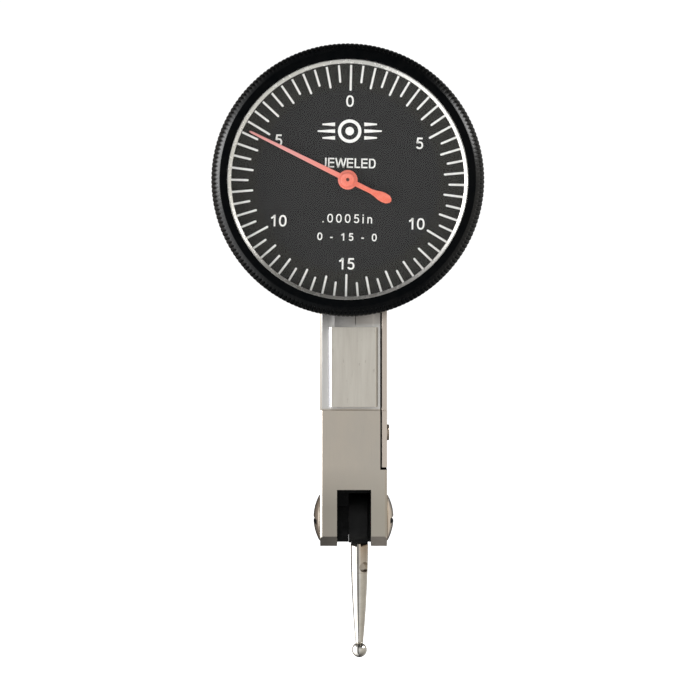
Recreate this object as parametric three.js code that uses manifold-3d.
// Lever-type dial test indicator with a rotating bezel, in millimetres.
// +X is to the right of the dial, -Y points at the person reading it, and +Z is up.
// Shapes are drawn with the dial's centre at X = 0, Z = 0. The whole assembly is then shifted so that
// the origin is the middle of the front dovetail's crown, which is where a holder grips the indicator.

import * as THREE from "three";
import { mergeVertices } from "three/addons/utils/BufferGeometryUtils.js";
import Module from "manifold-3d";

const wasm = await Module();
wasm.setup();

// ---- Driving dimensions -----------------------------------------------------------------------

// Bar: the long steel body that carries the fork, the dovetails and the gear train.
const BAR_LEFT = -3.95;
const BAR_RIGHT = 5.58;
const BAR_CENTRE = 0.8;
const BAR_BOTTOM = -51.8;
const BAR_TOP = 13;
const BAR_FRONT = 0;
const BAR_BACK = 13;
const EDGE_CHAMFER = 0.3;
const TOE_CHAMFER = 1.43;
const RELIEF = 1.7;
const RELIEF_BOTTOM = -32.45;
const RELIEF_EDGE = 0.02;

// Dovetails: the three standard rails.
const CROWN_HALF = 3.15;
const RAIL_HALF = 3.5;
const CROWN_CHAMFER = 0.35;
const SEAM = { width: 0.19, depth: 0.35 };
const RAIL_FOOT_HALF = 2.72;
const FRONT_RAIL = { low: -31.95, high: -20.6 };
const REAR_RAIL = { low: -31.95, high: -6 };
const TOP_RAIL_HEIGHT = 1.7;

// Fork and contact lever pivot.
const PIVOT_Y = 6.5;
const PIVOT_Z = -48;
const FORK = { left: -1.53, right: 3.3, top: -43.75 };
const PIVOT_SCREW = { head: 3.35, shank: 1.5, dome: 0.98, slot: 0.75 };

// Contact lever, swivelling stylus and its ball.
const STYLUS_X = 1.66;
const STYLUS_LENGTH = 19.06;
const BALL_RADIUS = 1.08;
const STEM_RADII = [[0.56, -66.0], [0.74, -63.8], [0.92, -61.4], [1.02, -59.6], [1.13, -57.3], [1.23, -54.3]];
const STEM_TOP_RADIUS = 1.25;
const WRENCH_HOLE = { radius: 0.78, z: -55.14, depthFromAxis: 0.62, turn: -50 };
const KNUCKLE = { radius: 3.6, left: 0.13, right: 2.92, bossLow: -51.65, bossLeft: 0.42 };
const BOSS_HALF = 1.5;
const LEVER = { left: -1.51, cheek: 3.5, right: 0.11 };
const LEVER_ROOF = { high: -43.92, low: -44.3, right: 3.28, half: 4.3, lipLow: -44.9, lip: 0.5 };
const LEVER_WEB = { right: 0.33, low: -50.6 };
const AXLE_RADIUS = 0.9;

// Gear train: sector on the lever, pinion and crown gear on a cross arbor, pinion under the pointer.
const SECTOR = { radius: 46.8, teethInFullCircle: 468, teeth: 7, left: -1.25, right: -0.65 };
const CROSS_PINION = { teeth: 12, radius: 1.2, left: -1.45, right: -0.45 };
const CROWN = { teeth: 56, radius: 4.2, ring: 0.5, back: 1.9 };
const CENTRE_PINION = { teeth: 14, radius: 1.05, front: 1.95, back: 2.85 };
const SECTOR_MODULE = 0.2;
const CROWN_MODULE = 0.15;

// Channel for the train inside the bar, and the plate that closes it on the right.
const CHANNEL = { left: -1.6, front: 3.3, back: 9.9, bottom: -39.1, top: 6.5 };
const COVER = { inner: 4.86, bottom: -40.55, front: 0.15 };
const COVER_SEAT = { inner: 4.81, bottom: -40.85 };
const COVER_SCREWS = [-35.6, -12, 10];

// Head: case cup, bezel, crystal and dial.
const CUP = { outer: 17.4, inner: 15.7, back: 1.65, floor: 0.3, front: -5.1 };
const BEZEL = { radius: 19.15, face: 17.85, bore: 16.95, front: -8.7, back: -1.7, grip: 0.3 };
const CRYSTAL = { radius: 16.9, front: -8.9, edgeFront: -8.6, back: -8.35, edgeBack: -8.05 };
const REFLECTOR = { outer: 16.9, inner: 16.35, rim: -6.6, lip: -6.3, back: -6.0 };
const DIAL = { radius: 16.9, front: -5.9, thickness: 0.45, hole: 0.9 };

// Pointer.
const POINTER_ANGLE = 63.7;
const POINTER = { length: 15.4, root: 0.4, tip: 0.17, front: -6.75, back: -6.55, boss: 1.37, tail: 6.8 };

// ---- Shape helpers ----------------------------------------------------------------------------

// Closed geometry to a manifold solid with its faces pointing out.
function toSolid(geometry) {
  const bare = geometry.clone();
  bare.deleteAttribute("normal");
  bare.deleteAttribute("uv");
  const merged = mergeVertices(bare, 1e-4);
  const position = merged.getAttribute("position");
  const corners = [];
  const [a, b, c] = [new THREE.Vector3(), new THREE.Vector3(), new THREE.Vector3()];
  let volume = 0;
  for (let i = 0; i < merged.index.count; i += 3) {
    const [p, q, r] = [merged.index.getX(i), merged.index.getX(i + 1), merged.index.getX(i + 2)];
    if (p === q || q === r || r === p) continue;
    corners.push(p, q, r);
    a.fromBufferAttribute(position, p);
    b.fromBufferAttribute(position, q);
    c.fromBufferAttribute(position, r);
    volume += a.dot(b.cross(c));
  }
  if (volume < 0) corners.reverse();
  const triVerts = new Uint32Array(corners);
  const vertProperties = new Float32Array(position.array);
  return new wasm.Manifold(new wasm.Mesh({ numProp: 3, vertProperties, triVerts }));
}

// Manifold solid back to a three.js geometry.
function toGeometry(solid) {
  const mesh = solid.getMesh();
  const geometry = new THREE.BufferGeometry();
  geometry.setAttribute("position", new THREE.BufferAttribute(new Float32Array(mesh.vertProperties), 3));
  geometry.setIndex(new THREE.BufferAttribute(new Uint32Array(mesh.triVerts), 1));
  geometry.computeVertexNormals();
  return geometry;
}

const join = (first, ...others) => others.reduce((sum, next) => sum.add(next), first);
const cut = (first, ...others) => others.reduce((rest, next) => rest.subtract(next), first);

function box(x0, x1, y0, y1, z0, z1) {
  const geometry = new THREE.BoxGeometry(x1 - x0, y1 - y0, z1 - z0);
  geometry.translate((x0 + x1) / 2, (y0 + y1) / 2, (z0 + z1) / 2);
  return toSolid(geometry);
}

function outline(points) {
  return new THREE.Shape(points.map(([u, v]) => new THREE.Vector2(u, v)));
}

function discOutline(radius, segments, [u, v] = [0, 0]) {
  const point = (i) => {
    const angle = (2 * Math.PI * i) / segments;
    return [u + radius * Math.cos(angle), v + radius * Math.sin(angle)];
  };
  return outline(Array.from({ length: segments }, (_, i) => point(i)));
}

// A solid turned by `degrees` about an axis through the origin, then shifted.
function moved(solid, axis, degrees, shift = [0, 0, 0]) {
  const geometry = toGeometry(solid);
  const direction = { x: [1, 0, 0], y: [0, 1, 0], z: [0, 0, 1] }[axis];
  const angle = THREE.MathUtils.degToRad(degrees);
  geometry.applyMatrix4(new THREE.Matrix4().makeRotationAxis(new THREE.Vector3(...direction), angle));
  geometry.translate(...shift);
  return toSolid(geometry);
}

// An outline in (Y, Z), swept from x0 to x1.
function sweptAlongX(shape, x0, x1) {
  const geometry = new THREE.ExtrudeGeometry(shape, { depth: x1 - x0, bevelEnabled: false });
  const turn = new THREE.Matrix4().makeBasis(
    new THREE.Vector3(0, 1, 0),
    new THREE.Vector3(0, 0, 1),
    new THREE.Vector3(1, 0, 0),
  );
  geometry.applyMatrix4(turn);
  geometry.translate(x0, 0, 0);
  return toSolid(geometry);
}

// An outline in (X, Z), swept from y0 to y1.
function sweptAlongY(shape, y0, y1) {
  const geometry = new THREE.ExtrudeGeometry(shape, { depth: y1 - y0, bevelEnabled: false });
  geometry.rotateX(Math.PI / 2);
  geometry.translate(0, y1, 0);
  return toSolid(geometry);
}

// An outline in (X, Y), swept from z0 to z1.
function sweptAlongZ(shape, z0, z1) {
  const geometry = new THREE.ExtrudeGeometry(shape, { depth: z1 - z0, bevelEnabled: false });
  geometry.translate(0, 0, z0);
  return toSolid(geometry);
}

// A closed profile of (radius, height) points turned about an axis through `centre`.
function turned(profile, axis, segments, centre = [0, 0, 0]) {
  const points = profile.map(([r, h]) => new THREE.Vector2(r, h));
  const onAxis = profile[0][0] === 0 && profile[profile.length - 1][0] === 0;
  if (!onAxis) points.push(points[0].clone());
  const geometry = new THREE.LatheGeometry(points, segments);
  if (axis === "x") geometry.rotateZ(-Math.PI / 2);
  if (axis === "z") geometry.rotateX(Math.PI / 2);
  geometry.translate(...centre);
  return toSolid(geometry);
}

// A plain rod or disc along an axis, from `start` to `end`.
function rod(axis, radius, start, end, centre, segments = 32) {
  return turned([[0, start], [radius, start], [radius, end], [0, end]], axis, segments, centre);
}

// Toothed wheel outline about (0, 0): trapezoid teeth, thinned for running clearance.
function gearOutline(teeth, radius, module, firstTooth) {
  const points = [];
  const pitch = (2 * Math.PI) / teeth;
  const rootRadius = radius - 1.2 * module;
  const tipRadius = radius + 0.85 * module;
  for (let k = 0; k < teeth; k += 1) {
    const middle = firstTooth + k * pitch;
    const corners = [[rootRadius, -0.3], [tipRadius, -0.11], [tipRadius, 0.11], [rootRadius, 0.3]];
    for (const [r, share] of corners) {
      points.push([r * Math.cos(middle + share * pitch), r * Math.sin(middle + share * pitch)]);
    }
  }
  return outline(points);
}

// ---- Materials --------------------------------------------------------------------------------

function material(color, roughness, metalness) {
  return new THREE.MeshStandardMaterial({ color, roughness, metalness });
}

const satinSteel = () => material(0xa7a094, 0.38, 1);
const brightSteel = () => material(0xc9c3b8, 0.18, 1);
const blackOxide = () => material(0x151617, 0.42, 0.6);
const blackAnodised = () => material(0x0b0c0e, 0.35, 0.5);
const brass = () => material(0xb08d4a, 0.35, 1);
const ruby = () => material(0x9b1230, 0.08, 0);
const redEnamel = () => material(0xd07864, 0.4, 0);
const greyDial = () => material(0x393939, 0.7, 0);
const clearGlass = () => {
  const glass = material(0xf4f6f6, 0.03, 0);
  glass.transparent = true;
  glass.opacity = 0.2;
  return glass;
};

const assembly = new THREE.Group();
const frontRailCentre = (FRONT_RAIL.low + FRONT_RAIL.high) / 2;
assembly.position.set(-BAR_CENTRE, 0, -frontRailCentre);

function place(name, solid, finish) {
  const mesh = new THREE.Mesh(toGeometry(solid), finish);
  mesh.name = name;
  assembly.add(mesh);
}

// ---- Bar --------------------------------------------------------------------------------------

// A rectangle in (X, Y) with chamfered corners.
function chamferedBlock(x0, x1, y0, y1, z0, z1) {
  const c = EDGE_CHAMFER;
  const corners = [
    [x0 + c, y0], [x1 - c, y0], [x1, y0 + c], [x1, y1 - c],
    [x1 - c, y1], [x0 + c, y1], [x0, y1 - c], [x0, y0 + c],
  ];
  return sweptAlongZ(outline(corners), z0, z1);
}

// Dovetail section: crown on top, undercut flanks down to the foot, sunk a little into the bar.
function railOutline(place2d) {
  const rise = RELIEF + 0.3;
  const half = [
    [RAIL_FOOT_HALF, rise], [RAIL_FOOT_HALF, RELIEF], [RAIL_HALF, CROWN_CHAMFER], [CROWN_HALF, 0],
  ];
  const mirrored = half.map(([u, v]) => [-u, v]).reverse();
  return outline([...half, ...mirrored].map(place2d));
}

function makeBar() {
  const foot = chamferedBlock(BAR_LEFT, BAR_RIGHT, BAR_FRONT, BAR_BACK, BAR_BOTTOM, RELIEF_BOTTOM);
  const reliefBack = BAR_BACK - RELIEF;
  const upper = chamferedBlock(BAR_LEFT, BAR_RIGHT, RELIEF, reliefBack, RELIEF_BOTTOM - 1, BAR_TOP);

  const toe = TOE_CHAMFER;
  const edge = RELIEF_EDGE;
  const side = [
    [BAR_FRONT + toe, BAR_BOTTOM], [BAR_BACK - toe, BAR_BOTTOM], [BAR_BACK, BAR_BOTTOM + toe],
    [BAR_BACK, RELIEF_BOTTOM - edge], [BAR_BACK - edge, RELIEF_BOTTOM],
    [BAR_FRONT + edge, RELIEF_BOTTOM], [BAR_FRONT, RELIEF_BOTTOM - edge], [BAR_FRONT, BAR_BOTTOM + toe],
  ];
  const footShaped = foot.intersect(sweptAlongX(outline(side), BAR_LEFT - 1, BAR_RIGHT + 1));

  const frontRail = sweptAlongZ(
    railOutline(([u, v]) => [BAR_CENTRE + u, BAR_FRONT + v]), FRONT_RAIL.low, FRONT_RAIL.high);
  const rearRail = sweptAlongZ(
    railOutline(([u, v]) => [BAR_CENTRE + u, BAR_BACK - v]), REAR_RAIL.low, REAR_RAIL.high);
  const topRail = sweptAlongY(
    railOutline(([u, v]) => [BAR_CENTRE + u, BAR_TOP + TOP_RAIL_HEIGHT - v]), RELIEF + 0.6, reliefBack);

  const fork = box(FORK.left, FORK.right, BAR_FRONT - 1, BAR_BACK + 1, BAR_BOTTOM - 1, FORK.top);
  const coverSeat = box(
    COVER_SEAT.inner, BAR_RIGHT + 1, BAR_FRONT - 1, BAR_BACK + 1, COVER_SEAT.bottom, BAR_TOP + 3);
  const channel = box(
    CHANNEL.left, COVER_SEAT.inner + 1, CHANNEL.front, CHANNEL.back, CHANNEL.bottom, CHANNEL.top);
  const leverPassage = box(FORK.left, -0.45, 3.9, 9.1, FORK.top - 1, CHANNEL.bottom + 1);
  const gearPocket = rod("x", 4.65, 0.9, COVER_SEAT.inner + 1, [0, PIVOT_Y, 0], 48);
  const jewelSeat = rod("x", 0.75, -2.3, CHANNEL.left + 1, [0, PIVOT_Y, 0], 20);
  const arborWindow = box(-1.5, 2.3, RELIEF - 1, CHANNEL.front + 1, -5, 5);
  const pivotHole = rod(
    "x", PIVOT_SCREW.shank + 0.06, BAR_LEFT - 1, BAR_RIGHT + 1, [0, PIVOT_Y, PIVOT_Z], 32);
  const screwHoles = COVER_SCREWS.map((z) => rod("x", 0.62, 2.3, BAR_RIGHT, [0, coverScrewY(z), z], 16));
  const seamLeft = COVER_SEAT.inner - SEAM.width;
  const lowerSeam = box(
    seamLeft, COVER_SEAT.inner + 1, BAR_FRONT - 1, BAR_FRONT + SEAM.depth, COVER_SEAT.bottom, RELIEF_BOTTOM);
  const upperSeam = box(
    seamLeft, COVER_SEAT.inner + 1, BAR_FRONT - 1, RELIEF + SEAM.depth, RELIEF_BOTTOM - 0.2, BAR_TOP - 0.4);

  const block = join(footShaped, upper, frontRail, rearRail, topRail);
  return cut(
    block, fork, coverSeat, channel, leverPassage, gearPocket, jewelSeat, arborWindow, pivotHole,
    lowerSeam, upperSeam, ...screwHoles);
}

// The cover's screws sit in the walls on either side of the channel.
function coverScrewY(z) {
  return z < -30 ? 2.45 : 10.6;
}

place("body_frame", makeBar(), satinSteel());

// ---- Side cover and its screws ----------------------------------------------------------------

function makeCover() {
  const inner = COVER.inner;
  const back = BAR_BACK - COVER.front;
  const lower = box(inner, BAR_RIGHT, COVER.front, back, COVER.bottom, RELIEF_BOTTOM - 0.05);
  const upper = box(
    inner, BAR_RIGHT, RELIEF + 0.05, BAR_BACK - RELIEF - 0.05, RELIEF_BOTTOM - 0.06, BAR_TOP - 0.2);
  const holes = COVER_SCREWS.map((z) => rod("x", 0.62, inner - 1, BAR_RIGHT + 1, [0, coverScrewY(z), z], 16));
  return cut(join(lower, upper), ...holes);
}

// Cheese-head screw along X with a driver slot.
function makeSlottedScrew(length, shank, head, headHeight, slot, x, y, z) {
  const profile = [
    [0, -length], [shank, -length], [shank, 0], [head, 0],
    [head, headHeight * 0.55], [head * 0.82, headHeight], [0, headHeight],
  ];
  const screw = turned(profile, "x", 18, [x, y, z]);
  const groove = box(
    x + headHeight * 0.5, x + headHeight + 1, y - head - 1, y + head + 1, z - slot / 2, z + slot / 2);
  return cut(screw, groove);
}

place("cover_plate", makeCover(), satinSteel());
COVER_SCREWS.forEach((z, i) => {
  const screw = makeSlottedScrew(2.6, 0.56, 1.15, 0.32, 0.3, BAR_RIGHT + 0.02, coverScrewY(z), z);
  place(`cover_screw_${i + 1}`, screw, brightSteel());
});

// ---- Pivot screws, jewels and the lever's axle -------------------------------------------------

// Domed slotted pivot screw: `side` is -1 for the left ear and +1 for the right one.
function makePivotScrew(side, earFace, shankEnd) {
  const { head, shank, dome, slot } = PIVOT_SCREW;
  const domePoints = [0.3, 0.52, 0.74, 0.92].map((share) => {
    const angle = (share * Math.PI) / 2;
    return [head * Math.cos(angle), 0.12 + (dome - 0.12) * Math.sin(angle)];
  });
  const profile = [[0, -shankEnd], [shank, -shankEnd], [shank, 0], [head, 0], [head, 0.12]];
  const screw = turned([...profile, ...domePoints, [0, dome]], "x", 28);
  const groove = box(dome - 0.45, dome + 1, -head - 1, head + 1, -slot / 2, slot / 2);
  const slotted = cut(screw, groove);
  return moved(slotted, "z", side > 0 ? 0 : 180, [earFace + side * 0.03, PIVOT_Y, PIVOT_Z]);
}

// Ruby bearing: a short ring along an axis.
function makeJewel(axis, radius, hole, start, end, centre) {
  return turned([[hole, start], [radius, start], [radius, end], [hole, end]], axis, 14, centre);
}

place("pivot_screw_left", makePivotScrew(-1, BAR_LEFT, 1.75), brightSteel());
place("pivot_screw_right", makePivotScrew(1, BAR_RIGHT, 1.65), brightSteel());

const pivot = [0, PIVOT_Y, PIVOT_Z];
place("pivot_jewel_left", makeJewel("x", 1.48, 0.36, -2.12, -1.58, pivot), ruby());
place("pivot_jewel_right", makeJewel("x", 1.48, 0.36, 3.28, 3.82, pivot), ruby());

const axleProfile = [
  [0, -2.05], [0.3, -2.05], [0.3, -1.52], [AXLE_RADIUS, -1.45], [AXLE_RADIUS, 3.12],
  [0.3, 3.18], [0.3, 3.75], [0, 3.75],
];
place("lever_axle", turned(axleProfile, "x", 20, pivot), brightSteel());

// ---- Contact lever with its gear sector --------------------------------------------------------

const pivotShift = ([u, v]) => [PIVOT_Y + u, PIVOT_Z + v];

// Black lever: a cheek beside the knuckle, a thin roof over it with a lip behind, and the long arm up to the sector.
function makeLever() {
  const cheek = sweptAlongX(discOutline(LEVER.cheek, 40, pivotShift([0, 0])), LEVER.left, LEVER.right);
  const riser = box(LEVER.left, LEVER.right, PIVOT_Y - 3, PIVOT_Y + 3, PIVOT_Z, LEVER_ROOF.high);
  const roof = box(
    LEVER.left, LEVER_ROOF.right, PIVOT_Y - LEVER_ROOF.half, PIVOT_Y + LEVER_ROOF.half,
    LEVER_ROOF.low, LEVER_ROOF.high);
  const back = PIVOT_Y + LEVER_ROOF.half;
  const lip = box(
    LEVER.left, LEVER_ROOF.right, back - LEVER_ROOF.lip, back, LEVER_ROOF.lipLow, LEVER_ROOF.low + 0.1);
  const web = box(LEVER.left, LEVER_WEB.right, back - LEVER_ROOF.lip, back, LEVER_WEB.low, LEVER_ROOF.low);
  const webFoot = box(LEVER.left, LEVER.right, PIVOT_Y, back, LEVER_WEB.low, LEVER_ROOF.low);
  const shank = [
    [-1.7, 0], [-0.75, 12], [-0.6, 43.2], [0.6, 43.2], [0.75, 12], [1.7, 0],
  ].map(pivotShift);
  const arm = sweptAlongX(outline(shank), SECTOR.left, SECTOR.right);
  const bore = sweptAlongX(discOutline(AXLE_RADIUS + 0.03, 28, pivotShift([0, 0])), LEVER.left - 1, 1);
  return cut(join(cheek, riser, roof, lip, web, webFoot, arm), bore);
}

// The sector is a slice of a very large gear, centred on the lever's pivot, with a gap in its middle.
function makeSector() {
  const pitch = (2 * Math.PI) / SECTOR.teethInFullCircle;
  const rootRadius = SECTOR.radius - 1.2 * SECTOR_MODULE;
  const tipRadius = SECTOR.radius + 0.85 * SECTOR_MODULE;
  const edge = (SECTOR.teeth / 2) * pitch;
  const polar = (radius, angle) => pivotShift([radius * Math.sin(angle), radius * Math.cos(angle)]);
  const points = [pivotShift([0.6, 43.3]), pivotShift([-0.6, 43.3]), polar(45.6, -edge * 1.15)];
  for (let k = 0; k < SECTOR.teeth - 1; k += 1) {
    const middle = (k - (SECTOR.teeth - 2) / 2) * pitch;
    const corners = [[rootRadius, -0.3], [tipRadius, -0.11], [tipRadius, 0.11], [rootRadius, 0.3]];
    for (const [r, share] of corners) points.push(polar(r, middle + share * pitch));
  }
  points.push(polar(45.6, edge * 1.15));
  return sweptAlongX(outline(points), SECTOR.left, SECTOR.right);
}

place("lever_arm", makeLever(), blackOxide());
place("sector_gear", makeSector(), brass());

// ---- Stylus: black swivel knuckle, tapered stem and ball ---------------------------------------

function makeKnuckle() {
  const { radius, left, right } = KNUCKLE;
  const edge = 0.25;
  const profile = [
    [AXLE_RADIUS + 0.05, left], [radius - edge, left], [radius, left + edge],
    [radius, right - edge], [radius - edge, right], [AXLE_RADIUS + 0.05, right],
  ];
  const drum = turned(profile, "x", 40, pivot);
  const boss = box(
    KNUCKLE.bossLeft, right - 0.05, PIVOT_Y - BOSS_HALF, PIVOT_Y + BOSS_HALF,
    KNUCKLE.bossLow, KNUCKLE.bossLow + 1.5);
  const socket = rod("z", 0.78, PIVOT_Z - 6, PIVOT_Z - 1.6, [STYLUS_X, PIVOT_Y, 0], 24);
  return cut(join(drum, boss), socket);
}

function makeStem() {
  const top = KNUCKLE.bossLow - 0.03;
  const profile = [
    [0, PIVOT_Z - STYLUS_LENGTH + BALL_RADIUS + 0.05], [0.46, PIVOT_Z - STYLUS_LENGTH + BALL_RADIUS - 0.08],
    ...STEM_RADII, [STEM_TOP_RADIUS, top - 0.12], [STEM_TOP_RADIUS - 0.1, top],
    [0.72, top], [0.72, PIVOT_Z - 1.8], [0, PIVOT_Z - 1.8],
  ];
  const stem = turned(profile, "z", 24, [STYLUS_X, PIVOT_Y, 0]);
  const hole = rod("x", WRENCH_HOLE.radius, WRENCH_HOLE.depthFromAxis, 3, [0, 0, 0], 20);
  return cut(stem, moved(hole, "z", WRENCH_HOLE.turn, [STYLUS_X, PIVOT_Y, WRENCH_HOLE.z]));
}

function makeBall() {
  const ball = new THREE.SphereGeometry(BALL_RADIUS, 20, 12);
  ball.rotateX(Math.PI / 2);
  ball.translate(STYLUS_X, PIVOT_Y, PIVOT_Z - STYLUS_LENGTH);
  return toSolid(ball);
}

const washerProfile = [
  [AXLE_RADIUS + 0.05, 2.96], [LEVER.cheek, 2.96], [LEVER.cheek, 3.26], [AXLE_RADIUS + 0.05, 3.26],
];

place("swivel_knuckle", makeKnuckle(), blackOxide());
place("friction_washer", turned(washerProfile, "x", 40, pivot), blackOxide());
place("stylus_stem", makeStem(), brightSteel());
place("contact_ball", makeBall(), brightSteel());

// ---- Cross arbor with its pinion and crown gear ------------------------------------------------

const crossAxis = [0, PIVOT_Y, 0];

function makeCrossPinion() {
  const wheel = sweptAlongX(
    gearOutline(CROSS_PINION.teeth, CROSS_PINION.radius, SECTOR_MODULE, -Math.PI / 2),
    CROSS_PINION.left, CROSS_PINION.right);
  const bore = rod("x", 0.53, CROSS_PINION.left - 1, CROSS_PINION.right + 1, [0, 0, 0], 20);
  return moved(cut(wheel, bore), "x", 0, crossAxis);
}

// Face gear: a disc whose teeth stand on its left face and point at the centre pinion.
function makeCrownGear() {
  const pitchPlane = CENTRE_PINION.radius;
  const root = pitchPlane + 1.2 * CROWN_MODULE;
  const tip = pitchPlane - 0.85 * CROWN_MODULE;
  const inner = CROWN.radius - CROWN.ring / 2;
  const outer = CROWN.radius + CROWN.ring / 2;
  const disc = turned([[0.53, root], [outer, root], [outer, CROWN.back], [0.53, CROWN.back]], "x", 40);
  const pitch = (2 * Math.PI * CROWN.radius) / CROWN.teeth;
  const tooth = outline([
    [-0.3 * pitch, root + 0.05], [-0.11 * pitch, tip], [0.11 * pitch, tip], [0.3 * pitch, root + 0.05],
  ]);
  const standing = new THREE.ExtrudeGeometry(tooth, { depth: outer - inner - 0.04, bevelEnabled: false });
  const lie = new THREE.Matrix4().makeBasis(
    new THREE.Vector3(0, 0, 1),
    new THREE.Vector3(1, 0, 0),
    new THREE.Vector3(0, 1, 0),
  );
  standing.applyMatrix4(lie);
  standing.translate(0, inner + 0.02, 0);
  const single = toSolid(standing);
  const toothAngle = (k) => 180 + (360 * k) / CROWN.teeth;
  const teeth = Array.from({ length: CROWN.teeth }, (_, k) => moved(single, "x", toothAngle(k)));
  return moved(join(disc, ...teeth), "x", 0, crossAxis);
}

const crossArborProfile = [
  [0, -2.1], [0.18, -2.1], [0.18, -1.55], [0.5, -1.5], [0.5, 3.4], [0.18, 3.45], [0.18, 4.1], [0, 4.1],
];
place("cross_arbor", turned(crossArborProfile, "x", 14, crossAxis), brightSteel());
place("cross_pinion", makeCrossPinion(), brightSteel());
place("crown_gear", makeCrownGear(), brass());

// ---- Centre arbor with its pinion, and the pointer ---------------------------------------------

const centreArborProfile = [
  [0, -7.1], [0.3, -7.1], [0.45, -6.3], [0.45, -2.65], [0.18, -2.6], [0.18, -1.9], [0.45, -1.85],
  [0.45, 3.35], [0.18, 3.4], [0.18, 4.1], [0, 4.1],
];

function makeCentrePinion() {
  const firstTooth = Math.PI / CENTRE_PINION.teeth;
  const wheel = sweptAlongY(
    gearOutline(CENTRE_PINION.teeth, CENTRE_PINION.radius, CROWN_MODULE, firstTooth),
    CENTRE_PINION.front, CENTRE_PINION.back);
  return cut(wheel, rod("y", 0.48, 0, 4, [0, 0, 0], 20));
}

// Flat needle: a tapered arm on one side of the hub, a neck and a leaf as counterweight on the other.
function makePointer() {
  const { length, root, tip, front, back, boss, tail } = POINTER;
  const right = [
    [root + 0.03, -0.5], [root, 1.2], [tip, length - 0.3], [0, length],
  ];
  const left = right.slice(0, 3).reverse().map(([u, v]) => [-u, v]);
  const arm = sweptAlongY(outline([...right, ...left]), front, back);
  const leaf = [
    [-0.43, 0], [-0.4, -3.9], [-0.67, -5.2], [-0.6, -6.2], [0, -tail],
    [0.6, -6.2], [0.67, -5.2], [0.4, -3.9], [0.43, 0],
  ];
  const counterweight = sweptAlongY(outline(leaf), front, back);
  const hub = sweptAlongY(discOutline(boss, 36), front, back);
  const needle = cut(join(arm, counterweight, hub), rod("y", 0.5, front - 1, back + 1, [0, 0, 0], 20));
  return moved(needle, "y", -POINTER_ANGLE);
}

function makeBoss() {
  const profile = [[0.48, -7.2], [0.85, -7.2], [1.0, -7.05], [1.0, -6.8], [0.48, -6.8]];
  return turned(profile, "y", 20);
}

place("centre_arbor", turned(centreArborProfile, "y", 14), brightSteel());
place("centre_pinion", makeCentrePinion(), brightSteel());
place("pointer", makePointer(), redEnamel());
place("pointer_boss", makeBoss(), redEnamel());

// ---- Bearings and bridges of the train ---------------------------------------------------------

place("cross_jewel_left", makeJewel("x", 0.7, 0.22, -2.05, -1.62, crossAxis), ruby());
place("cross_jewel_right", makeJewel("x", 0.7, 0.22, 3.52, 4.0, crossAxis), ruby());
place("centre_jewel_front", makeJewel("y", 0.7, 0.22, -2.5, -2.0), ruby());
place("centre_jewel_rear", makeJewel("y", 0.62, 0.22, 3.48, 3.98), ruby());

// Bridge over the cross arbor's right end, screwed to the channel's walls.
function makeCrossBridge() {
  const plate = box(3.5, 4.05, CHANNEL.front + 0.05, CHANNEL.back - 0.05, -4.4, 4.4);
  return cut(plate, rod("x", 0.75, 3, 5, crossAxis, 20));
}

// Strap behind the dial's centre, hanging clear of the sector, for the arbor's rear bearing.
function makeRearStrap() {
  const strap = box(-1.25, 0.85, 3.45, 4.0, -0.75, 5.6);
  const foot = box(-1.55, 0.85, 3.45, 6.2, 4.75, 5.6);
  return cut(join(strap, foot), rod("y", 0.66, 3, 5, [0, 0, 0], 20));
}

// Plate across the case cup, behind the dial, for the arbor's front bearing.
function makeFrontBridge() {
  const ends = 13.2;
  const plate = box(-ends, ends, -2.55, -1.95, -2.2, 2.2);
  const feet = [-1, 1].map((side) => {
    const x = side * (ends - 1.6);
    return box(x - 1.6, x + 1.6, -2, CUP.floor - 0.05, -2.2, 2.2);
  });
  const screwHoles = [-1, 1].map((side) => rod("y", 0.66, -4, 2, [side * (ends - 1.6), 0, 0], 16));
  return cut(join(plate, ...feet), rod("y", 0.75, -4, 0, [0, 0, 0], 20), ...screwHoles);
}

place("cross_bridge", makeCrossBridge(), brass());
place("rear_strap", makeRearStrap(), brass());
place("front_bridge", makeFrontBridge(), brass());
[-1, 1].forEach((side, i) => {
  const profile = [[0, -3.0], [1.1, -3.0], [1.1, -2.6], [0.6, -2.6], [0.6, 1.2], [0, 1.2]];
  const screw = turned(profile, "y", 20, [side * 11.6, 0, 0]);
  place(`bridge_screw_${i + 1}`, screw, brightSteel());
});

// ---- Hairspring: a flat spiral round the centre arbor, pinned at its outer end -------------------

function makeHairspring() {
  const turns = 3;
  const steps = 44;
  const band = 0.16;
  const point = (i, offset) => {
    const angle = (2 * Math.PI * turns * i) / steps;
    const radius = 1.1 + (2.6 * i) / steps + offset;
    return [radius * Math.cos(angle), radius * Math.sin(angle)];
  };
  const inner = Array.from({ length: steps + 1 }, (_, i) => point(i, -band / 2));
  const outer = Array.from({ length: steps + 1 }, (_, i) => point(steps - i, band / 2));
  return sweptAlongY(outline([...inner, ...outer]), -1.6, -1.2);
}

place("hairspring", makeHairspring(), brightSteel());
place("hairspring_stud", box(3.85, 4.6, -1.85, 0.25, -0.5, 0.5), brass());

// ---- Case cup ----------------------------------------------------------------------------------

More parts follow.
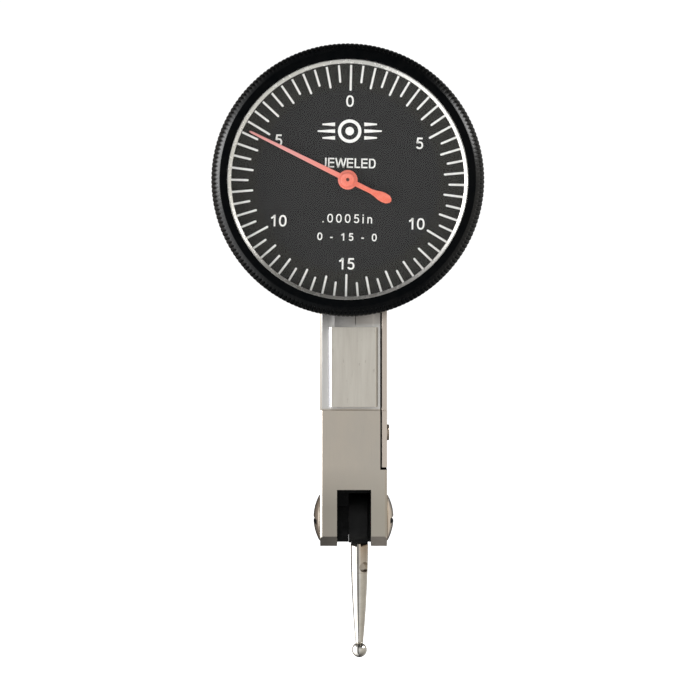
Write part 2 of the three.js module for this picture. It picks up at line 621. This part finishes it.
function makeCup() {
  const { outer, inner, back, floor, front } = CUP;
  const profile = [
    [0, floor], [inner, floor], [inner, front], [outer, front], [outer, floor + 0.7], [outer - 0.7, back],
    [0, back],
  ];
  const cup = turned(profile, "y", 60);
  const arborHole = rod("y", 1.5, -1, 3, [0, 0, 0], 28);
  const screwHoles = [-1, 1].map((side) => rod("y", 0.66, -1, 3, [side * 11.6, 0, 0], 16));
  const groove = turned(
    [[outer - 0.45, -4.6], [outer + 1, -4.6], [outer + 1, -4.0], [outer - 0.45, -4.0]], "y", 60);
  return cut(cup, arborHole, groove, ...screwHoles);
}

place("case_cup", makeCup(), satinSteel());
place("bezel_spring_ring", makeSpringRing(), brightSteel());

// Sprung wire in the cup's groove: it holds the bezel on and drags on it.
function makeSpringRing() {
  const mid = CUP.outer - 0.18;
  const ring = turned([[mid - 0.2, -4.5], [mid + 0.12, -4.5], [mid + 0.12, -4.1], [mid - 0.2, -4.1]], "y", 40);
  return cut(ring, box(-1.4, 1.4, -6, -3, -20, -10));
}

// ---- Bezel, crystal, bright ring and dial ------------------------------------------------------

function makeBezel() {
  const { radius, face, bore, front, back, grip } = BEZEL;
  const sleeve = CUP.outer + 0.08;
  const profile = [
    [bore, front], [face, front], [radius - grip, front + 1.1], [radius, front + 1.5], [radius, back - 0.5],
    [radius - 0.5, back], [sleeve, back], [sleeve, DIAL.front + DIAL.thickness + 0.05],
    [bore, DIAL.front + DIAL.thickness + 0.05],
  ];
  return turned(profile, "y", 80);
}

function makeCrystal() {
  const { radius, front, edgeFront, back, edgeBack } = CRYSTAL;
  const profile = [
    [0, front], [radius * 0.55, front + 0.05], [radius - 1.2, front + 0.17], [radius, edgeFront],
    [radius, edgeBack], [radius - 1, edgeBack], [0, back],
  ];
  return turned(profile, "y", 48);
}

function makeReflector() {
  const { outer, inner, rim, lip, back } = REFLECTOR;
  return turned([[outer, rim], [outer, back], [inner, back], [inner, lip]], "y", 60);
}

function makeDial() {
  const back = DIAL.front + DIAL.thickness;
  const { hole, radius, front } = DIAL;
  return turned([[hole, front], [radius, front], [radius, back], [hole, back]], "y", 60);
}

place("bezel", makeBezel(), blackAnodised());
place("crystal", makeCrystal(), clearGlass());
place("bright_ring", makeReflector(), brightSteel());
place("dial", makeDial(), greyDial());

export default assembly;
